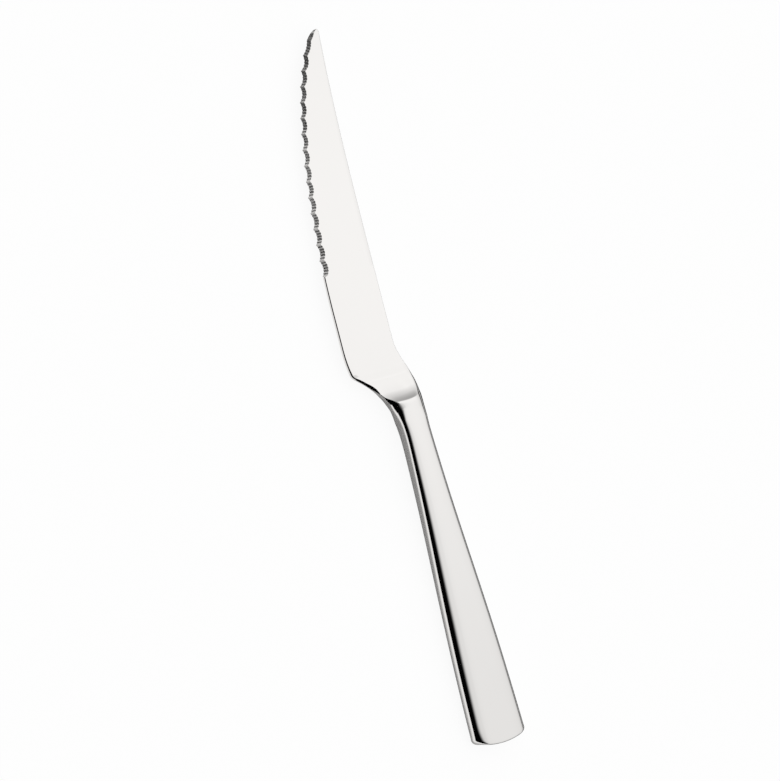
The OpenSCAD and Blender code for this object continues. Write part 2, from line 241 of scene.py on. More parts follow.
class Form:
    """The knife's lines: stations run from the tip to the butt, sides are positive to the edge."""

    def __init__(self, scene):
        blade, handle = scene.knife_blade, scene.knife_handle
        self.blade, self.handle = blade, handle
        self.overall_l = blade.blade_l + handle.handle_l
        self.heel_s = blade.blade_l - blade.heel_gap
        self.neck_s = blade.blade_l - blade.neck_lead
        self.joint_s = blade.blade_l + handle.joint_gap
        rise = (handle.handle_t - blade.blade_t) / 2
        self.cove_reach = math.sqrt(blade.cove_r**2 - (blade.cove_r - rise) ** 2)
        self.cove_s = blade.blade_l - self.cove_reach
        self.face_slope = (handle.handle_t - handle.butt_t) / 2 / handle.handle_l
        self.teeth = self.tooth_stations()

    def handle_share(self, s):
        """How far a station is along the handle, from 0 at the neck to 1 at the butt."""
        return max(0.0, (s - self.neck_s) / (self.overall_l - self.neck_s))

    def grown(self, s):
        """How far the blade has grown into the handle, from 0 at the heel to 1 at the flat face."""
        return ease((s - self.heel_s) / self.blade.heel_gap)

    def bow(self, s):
        """How far the long sides bow inwards at a station."""
        return self.handle.side_bow * math.sin(2 * math.pi * self.handle_share(s))

    def blade_back(self, s):
        """Side of the blade's own back at a station."""
        blade = self.blade
        rounding = math.sqrt(min(1.0, max(0.0, s) / blade.tip_round))
        fallen = 1 - max(0.0, 1 - s / blade.fall_run) ** 3
        return blade.spine_fall * fallen - blade.tip_rise * rounding

    def back_side(self, s):
        """Side of the back at a station, on the blade, the neck or the handle."""
        blade, handle = self.blade, self.handle
        off = (s - blade.blade_l + blade.shoulder_lead) / blade.shoulder_run
        swell = blade.shoulder * swelling(off)
        grip = -between(handle.neck_back, handle.butt_back, self.handle_share(s)) + self.bow(s)
        start = self.neck_s - blade.neck_run
        risen = ease((s - start) / blade.neck_run)
        return between(self.blade_back(min(s, start)), grip - swell, risen)

    def edge_line(self, s):
        """Side of the cutting edge, as far as the heel."""
        blade = self.blade
        u = min(1.0, s / blade.belly_run)
        lift = max(0.0, 1 - (self.heel_s - s) / blade.heel_run)
        curve = (1 - (1 - u) ** 2) ** blade.belly_power
        return blade.blade_w * curve - blade.heel_lift * lift**2

    def edge_point(self, s):
        """Point of the cutting edge's line, by station and side."""
        return Vector((s, self.edge_line(s)))

    def belly_line(self, s):
        """Side of the choil and of the handle's belly, behind the heel."""
        handle = self.handle
        u = min(1.0, (s - self.heel_s) / self.blade.choil_run)
        grip = between(handle.neck_belly, handle.butt_belly, self.handle_share(s)) - self.bow(s)
        hollow = (1 - u) ** self.blade.choil_power
        return grip + (self.edge_line(self.heel_s) - handle.neck_belly) * hollow

    def edge_side(self, s):
        """Side of the edge, the heel's round corner, the choil and the belly at a station."""
        r = self.blade.heel_round
        u = (s - self.heel_s + r) / (2 * r)
        if u <= 0:
            return self.edge_line(s)
        if u >= 1:
            return self.belly_line(s)
        before, corner = self.edge_line(self.heel_s - r), self.edge_line(self.heel_s)
        behind = self.belly_line(self.heel_s + r)
        return between(between(before, corner, u), between(corner, behind, u), u)

    def tooth_stations(self):
        """Stations of the tip and of the points of the teeth, one pitch apart along the edge."""
        blade = self.blade
        stations = [0.0, blade.tip_plain, blade.first_tooth]
        for _ in range(blade.tooth_count):
            s = stations[-1]
            steep = slope(self.edge_line, s + blade.tooth_pitch / 2, TOOTH_REACH)
            stations.append(s + blade.tooth_pitch / math.sqrt(1 + steep**2))
        return stations

    def blade_half_t(self, s):
        """Half thickness of the flat blade at a station."""
        share = min(1.0, max(0.0, s / self.heel_s))
        return between(self.blade.tip_t, self.blade.blade_t, share) / 2

    def handle_half_t(self, s):
        """Half thickness of the handle at a station."""
        return self.handle.handle_t / 2 - self.face_slope * (s - self.blade.blade_l)

    def belly_corner(self, s):
        """Radius of the belly's corners: small on the blade, growing to the butt."""
        growth = math.sin(math.pi / 2 * min(1.0, self.handle_share(s)))
        grip = between(self.handle.neck_corner_r, self.handle.butt_corner_r, growth)
        return between(self.blade.edge_round, grip, self.grown(s))

    def choil_share(self, s):
        """How near a station is to the curve where the choil meets the handle, from 0 to 1."""
        handle = self.handle
        off = s - self.blade.blade_l - handle.choil_corner_lead
        off /= handle.choil_corner_tail if off > 0 else handle.choil_corner_run
        return swelling(off)

    def long_radii(self, s, most):
        """Radii of the long corners by the back and the belly, where most is the room for them."""
        handle = self.handle
        share = self.choil_share(s)
        grip = handle.back_corner_r + handle.crease_corner * share
        back = between(self.blade.edge_round, grip, self.grown(s))
        return min(back, most), min(self.belly_corner(s) + handle.choil_corner * share, most)

    def front_corner(self, s, radius):
        """Width, depth and fullness of the front corner by the edge.

        It is a chamfer as far as the choil and turns into the handle's corner there.
        """
        handle = self.handle
        start, end = CHAMFER_TURN
        turned = ease((s / MM - start) / (end - start))
        size = MM * stepped(CHAMFER, s / MM)
        steep = slope(self.edge_side, s, CHAMFER_REACH)
        wide = size * min(CHAMFER_SPREAD, math.sqrt(1 + steep * steep))
        faded = ease((s - self.blade.blade_l) / handle.neck_fade)
        flare = max(0.0, 1 - (self.overall_l - s) / handle.fullness_run) ** 2
        off = (s - self.blade.blade_l - handle.wedge_lead) / handle.wedge_run
        stretch = between(handle.neck_stretch, handle.front_stretch, faded)
        grip_wide = radius * (1 + stretch + handle.wedge_stretch * swelling(off))
        grip_fullness = between(handle.neck_fullness, ROUND, faded)
        grip_fullness -= (ROUND - handle.butt_fullness) * flare
        fullness = between(stepped(CHAMFER_FULLNESS, s / MM), grip_fullness, turned)
        return between(wide, grip_wide, turned), between(size, radius, turned), fullness

    def crown(self, off):
        """How far a flat face has fallen at a distance inwards from its long corner."""
        run, drop = self.handle.crown_run, self.handle.crown_drop
        if off >= run:
            return 0.0
        if off <= 0:
            # on the corner itself it falls on at the slope that it has reached
            return drop - 3 * drop / run * off
        return drop * (1 - off / run) ** 3

    def cove_bend(self, side):
        """How far the cove's end runs forwards at a side, by the back."""
        radius = self.blade.cove_plan_r
        off = max(0.0, self.blade.cove_side - side)
        return radius - math.sqrt(radius**2 - off**2)

    def half_height(self, s, side):
        """Half thickness of the forging at a station and side: blade, cove or handle."""
        blade = self.blade
        face, full = self.blade_half_t(s), self.handle_half_t(s)
        depth = s + self.cove_bend(side) - self.cove_s
        if depth <= 0:
            return face
        depth = min(depth, COVE_END * blade.cove_r)
        cove = face + blade.cove_r - math.sqrt(blade.cove_r**2 - depth**2)
        # the lower of the cove and the handle's face, with the crease between them softened
        away = cove - full
        fade = ease((self.joint_s - s) / self.handle.joint_gap)
        softness = between(blade.cove_soft, blade.back_soft, ease(-side / blade.soft_run))
        soft = softness * ease(depth / self.cove_reach) * fade
        return (cove + full) / 2 - math.sqrt(away * away / 4 + soft * soft)

    def laid(self):
        """Transform that lays the knife on its handle's back face, centred over the origin."""
        tilt = math.atan(self.face_slope)
        middle = (self.edge_line(self.blade.belly_run) + self.back_side(self.overall_l)) / 2
        lift = self.handle_half_t(0) * math.cos(tilt)
        move = Matrix.Translation(Vector((self.overall_l / 2, -middle, lift)))
        return move @ Matrix.Rotation(-tilt, 4, "Y")


def place(s, side, z):
    """A point given by its station, side and height over the middle plane."""
    return Vector((-s, side, z))


def ring_of_corners(low, high, radii, front_corner, height, steps):
    """Closed section between two sides, as pairs of side and height.

    radii are those of the round corners by the low and the high side. The front corner by the
    high side has its own width, depth and fullness. height gives the half thickness at a side,
    and steps the divisions round a corner, across a face and down a side.
    """
    points = []
    corner_steps, face_steps, side_steps = steps
    quarter = quarter_turn(corner_steps)
    low_r, high_r = radii

    def corner(outer, side_sign, top_sign, wide, deep, fullness, turns):
        middle = outer - side_sign * wide
        for a in turns:
            side = middle + side_sign * wide * max(0.0, math.cos(a)) ** (2 / fullness)
            rise = deep * math.sin(a) ** (2 / fullness)
            points.append((side, top_sign * (height(side) - deep + rise)))

    def face(first, last, top_sign):
        for i in range(1, face_steps):
            side = between(first, last, i / face_steps)
            points.append((side, top_sign * height(side)))

    def edge(side, first, last):
        for i in range(1, side_steps):
            points.append((side, between(first, last, i / side_steps)))

    corner(high, 1, 1, *front_corner, quarter)
    face(high - front_corner[0], low + low_r, 1)
    corner(low, -1, 1, low_r, low_r, ROUND, quarter[::-1])
    edge(low, height(low) - low_r, low_r - height(low))
    corner(low, -1, -1, low_r, low_r, ROUND, quarter)
    face(low + low_r, high - high_r, -1)
    corner(high, 1, -1, high_r, high_r, ROUND, quarter[::-1])
    edge(high, high_r - height(high), height(high) - front_corner[1])
    return points


def loft(bm, sections):
    """Skin through closed sections: a ring of vertices, extruded from each section to the next."""
    ring = [bm.verts.new(p) for p in sections[0]]
    edges = [bm.edges.new((a, b)) for a, b in zip(ring, ring[1:] + ring[:1])]
    rings = [ring]
    for section in sections[1:]:
        grown = bmesh.ops.extrude_edge_only(bm, edges=edges)["geom"]
        fresh = {g for g in grown if isinstance(g, bmesh.types.BMVert)}
        ring = [
            next(e.other_vert(v) for e in v.link_edges if e.other_vert(v) in fresh) for v in ring
        ]
        edges = [bm.edges.get((a, b)) for a, b in zip(ring, ring[1:] + ring[:1])]
        for v, p in zip(ring, section):
            v.co = p
        rings.append(ring)
    return rings


# Points nearer than this are one
MERGE = 0.002 * MM
# Angle between faces from which an edge shows as sharp
SHARP = math.radians(32)


def finish_mesh(bm, name, form, materials):
    """Turns a bmesh into a finished piece, laid where the knife lies, with its edges set."""
    bmesh.ops.remove_doubles(bm, verts=bm.verts, dist=MERGE)
    bmesh.ops.dissolve_degenerate(bm, edges=bm.edges, dist=MERGE)
    bmesh.ops.transform(bm, matrix=form.laid(), verts=bm.verts)
    bmesh.ops.recalc_face_normals(bm, faces=bm.faces)
    mesh = bpy.data.meshes.new(name)
    bm.to_mesh(mesh)
    bm.free()
    for material in materials:
        mesh.materials.append(material)
    mesh.shade_smooth()
    mesh.set_sharp_from_angle(angle=SHARP)
    piece = bpy.data.objects.new(name, mesh)
    bpy.context.scene.collection.objects.link(piece)
    return piece


# Divisions of the blade's sections: over the ground band, round a corner, across, down a side
BAND_STEPS = 6
BLADE_CORNER_STEPS = 6
BLADE_FACE_STEPS = 12
BLADE_SIDE_STEPS = 4
BLADE_STEPS = (BLADE_CORNER_STEPS, BLADE_FACE_STEPS, BLADE_SIDE_STEPS)
# The same for the handle
HANDLE_CORNER_STEPS = 14
HANDLE_FACE_STEPS = 28
HANDLE_SIDE_STEPS = 8
HANDLE_STEPS = (HANDLE_CORNER_STEPS, HANDLE_FACE_STEPS, HANDLE_SIDE_STEPS)
# Sections to a flute, longest distance between the handle's sections, and rings round the butt
FLUTE_SECTIONS = 6
HANDLE_PITCH = 1.5 * MM
BUTT_RINGS = 18
# Step along the edge that gives its direction at the plain tip
TIP_STEP = 0.01 * MM
# Most that the ground band and the back's rounding take of the blade's depth, near the tip
BAND_ROOM = 0.35
ROUND_ROOM = 0.2
# Width of the flat hem behind the edge, and the most that it takes of the band
HEM = 0.02 * MM
HEM_ROOM = 0.1
# Most that the long corners take of the half thickness, on the blade and by the handle
BLADE_CORNER_ROOM = 0.6
NECK_CORNER_ROOM = 0.9
# From the last tooth to the first plain section
TOOTH_LEAD = 0.3 * MM
# How far to each side of the cove's crease the sections are closest, before they straighten
CREASE_REACH = 1.2 * MM
# How far behind the cove's start the sections follow its bend in full
BEND_LAG = 2 * MM
# How far the tang reaches into the bolster
TANG_OVERLAP = 0.5 * MM


def inwards(start, end):
    """The way into the blade, square to a stretch of the edge."""
    along = (end - start).normalized()
    return Vector((along.y, -along.x))


def ground_edge(form, s, left, right):
    """Point of the cutting edge at a station between two teeth, and the way inwards from there."""
    blade = form.blade
    if left < blade.tip_plain:
        edge = form.edge_point(s)
        return edge, inwards(edge, form.edge_point(s + TIP_STEP))
    start, end = form.edge_point(left), form.edge_point(right)
    inward = inwards(start, end)
    share = (s - left) / (right - left)
    u = 2 * share - 1
    flute = 2 * ((share * blade.flute_count) % 1.0) - 1
    full = blade.scallop_d if left >= blade.first_tooth else blade.tip_scallop_d
    depth = full * (1 - u * u) + blade.flute_d * (1 - flute * flute) * (1 - u**4)
    return between(start, end, share) + inward * depth, inward


def serrated_section(form, s, left, right):
    """Section through a scallop: the back face reaches the edge, the front stops at the band."""
    blade = form.blade
    edge, inward = ground_edge(form, s, left, right)
    room = max(0.0, edge.y - form.back_side(edge.x))
    grinds = ((0, blade.tip_grind), (0.5, blade.mid_grind), (1, blade.heel_grind))
    band = min(stepped(grinds, s / form.teeth[-1]), BAND_ROOM * room)
    front = edge + inward * band
    half = form.blade_half_t(s)
    r = min(blade.edge_round, ROUND_ROOM * room)
    back = Vector((s, form.back_side(s) + r))
    points = []
    for i in range(BAND_STEPS + 1):
        p = between(edge, front, i / BAND_STEPS)
        points.append(place(p.x, p.y, between(-half, half, i / BAND_STEPS)))
    for i in range(1, BLADE_FACE_STEPS):
        p = between(front, back, i / BLADE_FACE_STEPS)
        points.append(place(p.x, p.y, form.blade_half_t(p.x)))
    quarter = quarter_turn(BLADE_CORNER_STEPS)
    for a in quarter[::-1]:
        points.append(place(back.x, back.y - r * math.cos(a), half - r + r * math.sin(a)))
    for i in range(1, BLADE_SIDE_STEPS):
        z = between(half - r, r - half, i / BLADE_SIDE_STEPS)
        points.append(place(back.x, back.y - r, z))
    for a in quarter:
        points.append(place(back.x, back.y - r * math.cos(a), -half + r - r * math.sin(a)))
    # the rest runs along the back face to the hem, with as many points as a plain section has
    hem = edge + inward * min(HEM, HEM_ROOM * band)
    rest = 2 * BLADE_CORNER_STEPS + BLADE_FACE_STEPS + BLADE_SIDE_STEPS - BAND_STEPS
    for i in range(1, rest):
        p = between(back, hem, i / (rest - 1))
        points.append(place(p.x, p.y, -form.blade_half_t(p.x)))
    return points


def serrated_sections(form):
    """Sections from the tip to the last tooth, several to each fine flute."""
    count = form.blade.flute_count * FLUTE_SECTIONS
    sections = []
    for left, right in zip(form.teeth, form.teeth[1:]):
        for i in range(count):
            sections.append(serrated_section(form, between(left, right, i / count), left, right))
    sections.append(serrated_section(form, form.teeth[-1], form.teeth[-2], form.teeth[-1]))
    return sections


def forged_section(form, s, bend):
    """Section of the plain blade, the neck and the bolster. bend is how far it follows the cove."""

    def station(side):
        return s - bend * form.cove_bend(side)

    def bare_height(side):
        return form.half_height(station(side), side)

    def height(side):
        drop = form.crown(min(side - low - radii[0], high - front[0] - side))
        return bare_height(side) - drop * grown

    low, high = form.back_side(station(form.back_side(s))), form.edge_side(s)
    grown = form.grown(s)
    room = between(BLADE_CORNER_ROOM, NECK_CORNER_ROOM, grown)
    radii = form.long_radii(s, room * min(bare_height(low), bare_height(high)))
    front = form.front_corner(s, radii[1])
    ring = ring_of_corners(low, high, radii, front, height, BLADE_STEPS)
    return [place(station(side), side, z) for side, z in ring]


def forged_sections(form):
    """Sections from the last tooth over the heel, the choil and the cove to the handle's joint."""
    blade = form.blade
    heel_start, heel_end = form.heel_s - blade.heel_round, form.heel_s + blade.heel_round
    # where the spacing changes, and the number of sections from there to the next such place
    stretches = (
        (form.teeth[-1] + TOOTH_LEAD, 16),
        (heel_start, 14),
        (heel_end, 18),
        (form.cove_s + 0.5 * form.cove_reach, 14),
        (blade.blade_l - CREASE_REACH, 20),
        (blade.blade_l + CREASE_REACH, 6),
        (form.joint_s, 0),
    )
    stations = [
        between(start, end, i / count)
        for (start, count), (end, _) in zip(stretches, stretches[1:])
        for i in range(count)
    ]
    sections = []
    for s in stations + [form.joint_s]:
        rising = ease((s - heel_start) / (form.cove_s - heel_start + BEND_LAG))
        settling = ease((form.joint_s - s) / (form.joint_s - blade.blade_l - CREASE_REACH))
        sections.append(forged_section(form, s, rising * settling))
    return sections


def handle_section(form, s, face_drop=0.0, side_drop=0.0):
    """Section of the handle's outside. The drops draw it in at the butt's end."""
    handle = form.handle
    low, high = form.back_side(s) + side_drop, form.belly_line(s) - side_drop
    middle = (low + high) / 2
    arc_share = max(0.0, 1 - (form.overall_l - s) / handle.butt_run)
    room = form.handle_half_t(s) - face_drop - form.crown(-handle.butt_corner_r) - handle.seam_t
    radii = form.long_radii(s, room)
    front = form.front_corner(s, radii[1])

    def station(side):
        rise = handle.butt_arc_r - math.sqrt(handle.butt_arc_r**2 - (side - middle) ** 2)
        return s - arc_share * rise

    def height(side):
        drop = form.crown(min(side - low - radii[0], high - front[0] - side))
        return form.handle_half_t(station(side)) - face_drop - drop

    ring = ring_of_corners(low, high, radii, front, height, HANDLE_STEPS)
    return [place(station(side), side, z) for side, z in ring]


def handle_sections(form, start):
    """Sections of the handle's outside from a station to the butt."""
    handle = form.handle
    end = form.overall_l
    run = end - handle.butt_round - start
    count = math.ceil(run / HANDLE_PITCH)
    sections = [handle_section(form, start + run * i / count) for i in range(count)]
    for a in quarter_turn(BUTT_RINGS):
        s = end - handle.butt_round * (1 - math.sin(a))
        rounded = max(0.0, 1 - (end - s) / handle.butt_edge)
        face_drop = handle.butt_drop * (1 - math.sqrt(max(0.0, 1 - rounded**2)))
        sections.append(handle_section(form, s, face_drop, handle.butt_round * (1 - math.cos(a))))
    return sections


def close_butt(bm, ring):
    """Closes the butt's end with level strips between the points of its last ring."""
    wide = 2 * HANDLE_CORNER_STEPS + HANDLE_FACE_STEPS + 1
    side = HANDLE_SIDE_STEPS - 1
    top, low_side = ring[:wide], ring[wide : wide + side]
    bottom, high_side = ring[wide + side : 2 * wide + side][::-1], ring[2 * wide + side :]
    for i in range(wide - 1):
        strip = [top[i], top[i + 1], bottom[i + 1], bottom[i]]
        if i == 0:
            strip += high_side
        if i == wide - 2:
            strip[2:2] = low_side
        bm.faces.new(strip)


class Wire:
    """A shader value that takes part in Python expressions."""

    def __init__(self, graph, socket):
        self.graph, self.socket = graph, socket

    def maths(self, operation, first, second):
        """Adds a Math node for an operation."""
        node = self.graph.add("ShaderNodeMath", {"operation": operation}, {0: first, 1: second})
        return Wire(self.graph, node.outputs[0])

    def __add__(self, other):
        return self.maths("ADD", self, other)

    def __radd__(self, other):
        return self.maths("ADD", other, self)

    def __sub__(self, other):
        return self.maths("SUBTRACT", self, other)

    def __rsub__(self, other):
        return self.maths("SUBTRACT", other, self)

    def __mul__(self, other):
        return self.maths("MULTIPLY", self, other)

    def __rmul__(self, other):
        return self.maths("MULTIPLY", other, self)


class Graph:
    """A node tree in which a node is added with its settings and inputs in one call."""

    def __init__(self, owner):
        owner.use_nodes = True
        self.tree = owner.node_tree
        self.tree.nodes.clear()

    def add(self, kind, settings=None, inputs=None):
        """Adds a node. A ramp's settings hold its stops as pairs of place and level."""
        node = self.tree.nodes.new(kind)
        for key, value in (settings or {}).items():
            if key == "stops":
                self.set_stops(node.color_ramp, value)
            else:
                setattr(node, key, value)
        for key, value in (inputs or {}).items():
            if isinstance(value, Wire):
                value = value.socket
            if isinstance(value, bpy.types.NodeSocket):
                self.tree.links.new(value, node.inputs[key])
            else:
                node.inputs[key].default_value = value
        return node

    def set_stops(self, ramp, stops):
        """Gives a ramp its stops as greys."""
        while len(ramp.elements) < len(stops):
            ramp.elements.new(1.0)
        for element, (at, level) in zip(ramp.elements, stops):
            element.position = at
            element.color = (level, level, level, 1)

    def wire(self, kind, settings=None, inputs=None, output=0):
        """Adds a node and gives one of its outputs as a value for expressions."""
        return Wire(self, self.add(kind, settings, inputs).outputs[output])


def tint(graph, share, first, second):
    """Colour that goes from the first to the second with a share."""
    sockets = {0: share, 6: (*first, 1), 7: (*second, 1)}
    return graph.wire("ShaderNodeMix", {"data_type": "RGBA"}, sockets, output=2)


def levels(graph, value, stops, span):
    """Level at a value. The stops are pairs of value and level, within half a span of 0."""
    shares = [(at / span + 0.5, level) for at, level in stops]
    share = value * (1 / span) + 0.5
    return graph.wire("ShaderNodeValToRGB", {"stops": shares}, {"Fac": share})


def axes(graph, space):
    """The texture coordinate's parts along X, Y and Z."""
    at = graph.wire("ShaderNodeTexCoord", output=space)
    split = graph.add("ShaderNodeSeparateXYZ", inputs={"Vector": at}).outputs
    return [Wire(graph, split[axis]) for axis in "XYZ"]


def rays(graph, *kinds):
    """For each kind of ray a value that is 1 for such a ray."""
    path = graph.add("ShaderNodeLightPath").outputs
    return [Wire(graph, path[f"Is {kind} Ray"]) for kind in kinds]


def surface(graph, inputs):
    """Gives the material a shader with these inputs."""
    shader = graph.add("ShaderNodeBsdfPrincipled", inputs=inputs)
    graph.add("ShaderNodeOutputMaterial", inputs={"Surface": shader.outputs[0]})


# Marks that polishing leaves along the knife, and those of the serrating wheel across the edge
POLISH_MARKS = {"scale": (60, 1500, 1500), "strength": 0.05, "depth": 0.002 * MM, "spread": 0.03}
WHEEL_MARKS = {"scale": (3200, 250, 250), "strength": 0.5, "depth": 0.02 * MM, "spread": 0.2}
# Size and darkness of the faint clouds in the steel
CLOUD_SCALE = 90.0
CLOUD_SHADE = 0.985


def steel(name, colour, roughness, kind):
    """Steel with fine marks of a kind, whose spread is how far the roughness varies."""
    material = bpy.data.materials.new(name)
    graph = Graph(material)
    at = graph.wire("ShaderNodeTexCoord", output="Object")
    stretched = graph.wire("ShaderNodeMapping", inputs={"Vector": at, "Scale": kind["scale"]})
    marks = graph.wire(
        "ShaderNodeTexNoise", inputs={"Vector": stretched, "Scale": 1.0, "Detail": 4.0}
    )
    clouds = graph.wire(
        "ShaderNodeTexNoise", inputs={"Vector": at, "Scale": CLOUD_SCALE, "Detail": 3.0}
    )
    bump = graph.wire(
        "ShaderNodeBump",
        inputs={"Height": marks, "Strength": kind["strength"], "Distance": kind["depth"]},
    )
    tone = tint(graph, clouds, [c * CLOUD_SHADE for c in colour], colour)
    rough = roughness + (marks - 0.5) * kind["spread"] + (clouds - 0.5) * kind["spread"]
    surface(graph, {"Base Color": tone, "Metallic": 1.0, "Roughness": rough, "Normal": bump})
    return material


def polished_steel(scene):
    """Mirror polish with the faintest marks along the knife."""
    finish = scene.knife_finish
    return steel("polished_steel", finish.steel, finish.polish, POLISH_MARKS)


def ground_steel(scene):
    """Steel as the serrating wheel leaves it, with fine marks across the edge."""
    finish = scene.knife_finish
    return steel("ground_steel", finish.steel, finish.grind, WHEEL_MARKS)


class KNIFE_OT_blade(bpy.types.Operator):
    """Model the blade, its serration, the bolster and the tang"""

    bl_idname = "knife.blade"
    bl_label = "Blade"

    def execute(self, context):
        form = Form(context.scene)
        bm = bmesh.new()
        toothed = serrated_sections(form)
        rings = loft(bm, toothed + forged_sections(form))
        self.mark_band(rings[: len(toothed) + 1])
        bmesh.ops.contextual_create(bm, geom=rings[-1])
        self.add_tang(bm, form)
        materials = [polished_steel(context.scene), ground_steel(context.scene)]
        piece = finish_mesh(bm, "steak_knife_blade", form, materials)
        level = piece.modifiers.new("level faces", "WEIGHTED_NORMAL")
        level.keep_sharp = True
        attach(piece, BODY)
        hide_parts(BLADE_NODE)
        return {"FINISHED"}

    def mark_band(self, rings):
        """Gives the faces of the ground band the second material."""
        for near, far in zip(rings, rings[1:]):
            for k in range(BAND_STEPS):
                quad = {near[k], near[k + 1], far[k], far[k + 1]}
                for face in near[k].link_faces:
                    if quad == set(face.verts):
                        face.material_index = 1

    def add_tang(self, bm, form):
        """Flat bar behind the bolster, set a little into it."""
        handle = form.handle
        middle = (form.back_side(form.joint_s) + form.belly_line(form.joint_s)) / 2
        along = -form.joint_s - (handle.tang_l - TANG_OVERLAP) / 2
        bar = bmesh.ops.create_cube(bm, size=1)["verts"]
        size = (handle.tang_l + TANG_OVERLAP, handle.tang_w, handle.tang_t)
        bmesh.ops.scale(bm, verts=bar, vec=size)
        bmesh.ops.translate(bm, verts=bar, vec=(along, middle, 0))


class KNIFE_OT_handle(bpy.types.Operator):
    """Model the two handle shells, the soldered seam and the soldered collar"""

    bl_idname = "knife.handle"
    bl_label = "Handle"

    def execute(self, context):
        form = Form(context.scene)
        material = polished_steel(context.scene)
        half = form.handle.seam_t / 2
        start = form.joint_s + form.handle.collar_t
        parts = (
            ("front_shell", FRONT_NODE, "polished_handle_steel", half, None),
            ("back_shell", BACK_NODE, "polished_handle_steel", None, -half),
            ("seam_strip", SEAM_NODE, "solder", -half, half),
        )
        for name, node, slot, low, high in parts:
            bm = bmesh.new()
            rings = loft(bm, handle_sections(form, start))
            close_butt(bm, rings[-1])
            self.cut(bm, low, high)
            self.thicken(bm, form)
            piece = finish_mesh(bm, name, form, [material])
            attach(piece, BODY)
            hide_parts(node)
        bm = bmesh.new()
        loft(bm, [handle_section(form, form.joint_s), handle_section(form, start)])
        self.thicken(bm, form)
        piece = finish_mesh(bm, "collar_ring", form, [material])
        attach(piece, BODY)
        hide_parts(COLLAR_NODE)
        return {"FINISHED"}

    def cut(self, bm, low, high):
        """Keeps what lies between two heights."""
        for height, upwards in ((low, -1), (high, 1)):
            if height is None:
                continue
            bmesh.ops.bisect_plane(
                bm,
                geom=bm.verts[:] + bm.edges[:] + bm.faces[:],
                plane_co=(0, 0, height),
                plane_no=(0, 0, upwards),
                clear_outer=True,
            )

    def thicken(self, bm, form):
        """Gives the skin the wall of the shells."""
        bmesh.ops.recalc_face_normals(bm, faces=bm.faces)
        bmesh.ops.solidify(bm, geom=bm.faces[:], thickness=form.handle.wall)


# Colours of the cement's grains, and their size and depth
CEMENT_DARK = (0.5, 0.45, 0.38)
CEMENT_LIGHT = (0.7, 0.66, 0.6)
GRAIN_SCALE = 900.0
GRAIN_DEPTH = 0.1 * MM


class KNIFE_OT_filling(bpy.types.Operator):
    """Finish the cement inside the handle"""

    bl_idname = "knife.filling"
    bl_label = "Filling"

    def execute(self, context):
        material = bpy.data.materials.new("cement")
        graph = Graph(material)
        at = graph.wire("ShaderNodeTexCoord", output="Object")
        grain = graph.wire(
            "ShaderNodeTexNoise", inputs={"Vector": at, "Scale": GRAIN_SCALE, "Detail": 6.0}
        )
        bump = graph.wire(
            "ShaderNodeBump", inputs={"Height": grain, "Strength": 0.4, "Distance": GRAIN_DEPTH}
        )
        tone = tint(graph, grain, CEMENT_DARK, CEMENT_LIGHT)
        surface(graph, {"Base Color": tone, "Roughness": 0.9, "Normal": bump})
        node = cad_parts[CEMENT_NODE]
        node.data.materials.clear()
        node.data.materials.append(material)
        return {"FINISHED"}


# Brightness of the light tent by the angle from overhead, in degrees, positive to the edge
TENT_ACROSS = (
    (-105, 0.005), (-84, 0.005), (-76, 0.1), (-69, 0.5), (-62, 0.74), (-48, 0.83), (-36, 0.89),
    (-29, 0.94), (-22, 1.0), (-15, 0.95), (-8, 0.91), (4, 0.89), (14, 0.86), (21, 0.76),
    (28, 0.55), (34, 0.28), (40, 0.06), (46, 0.001),
)
# Its brightness by how far a ray leans along the knife, from -1 at the butt to 1 at the tip
TENT_ALONG = (
    (-1, 0.1), (-0.93, 0.4), (-0.82, 0.72), (-0.4, 0.8), (-0.15, 0.82), (-0.1, 0.85),
    (-0.045, 0.925), (0, 0.98), (0.05, 1.0), (0.1, 0.975), (0.3, 0.985), (0.627, 0.985),
    (0.688, 0.9), (0.742, 0.82), (0.79, 0.75), (0.837, 0.61), (0.874, 0.52), (0.93, 0.4),
    (1, 0.3),
)
# How much stronger it lights rough things than it shows in the polish
LAMP_LEVEL = 1.8
# Grey of the floor, its share of plain white to the camera and in the polish, and half its size
FLOOR_GREY = (0.88, 0.88, 0.88)
SEEN_FLOOR = 0.92
MIRRORED_FLOOR = 0.7
FLOOR_HALF = 3
# A grey strip is painted under the knife as its shadow, mirrored only in the steel: by metres
# across the knife, how much of the white floor is left, and how much black the painted shadow has,
# most on the side of the back
WHITE_OUTSIDE_PAINTED_SHADOW = ((-0.05, 1.0), (-0.038, 0.0), (0.005, 0.0), (0.014, 1.0))
PAINTED_SHADOW_DARKNESS = ((-0.004, 0.96), (0.0, 0.48))
PAINTED_SHADOW_SPAN = 0.2
WHITE = (1, 1, 1, 1)
# Size of the photo, its scale, and where the knife's tip is in it, from the top left
PHOTO_W, PHOTO_H = 780, 781
PIXELS_PER_METRE = 3.136 / MM
TIP_PIXEL = Vector((315.7, 29.1))
SENSOR = 36.0


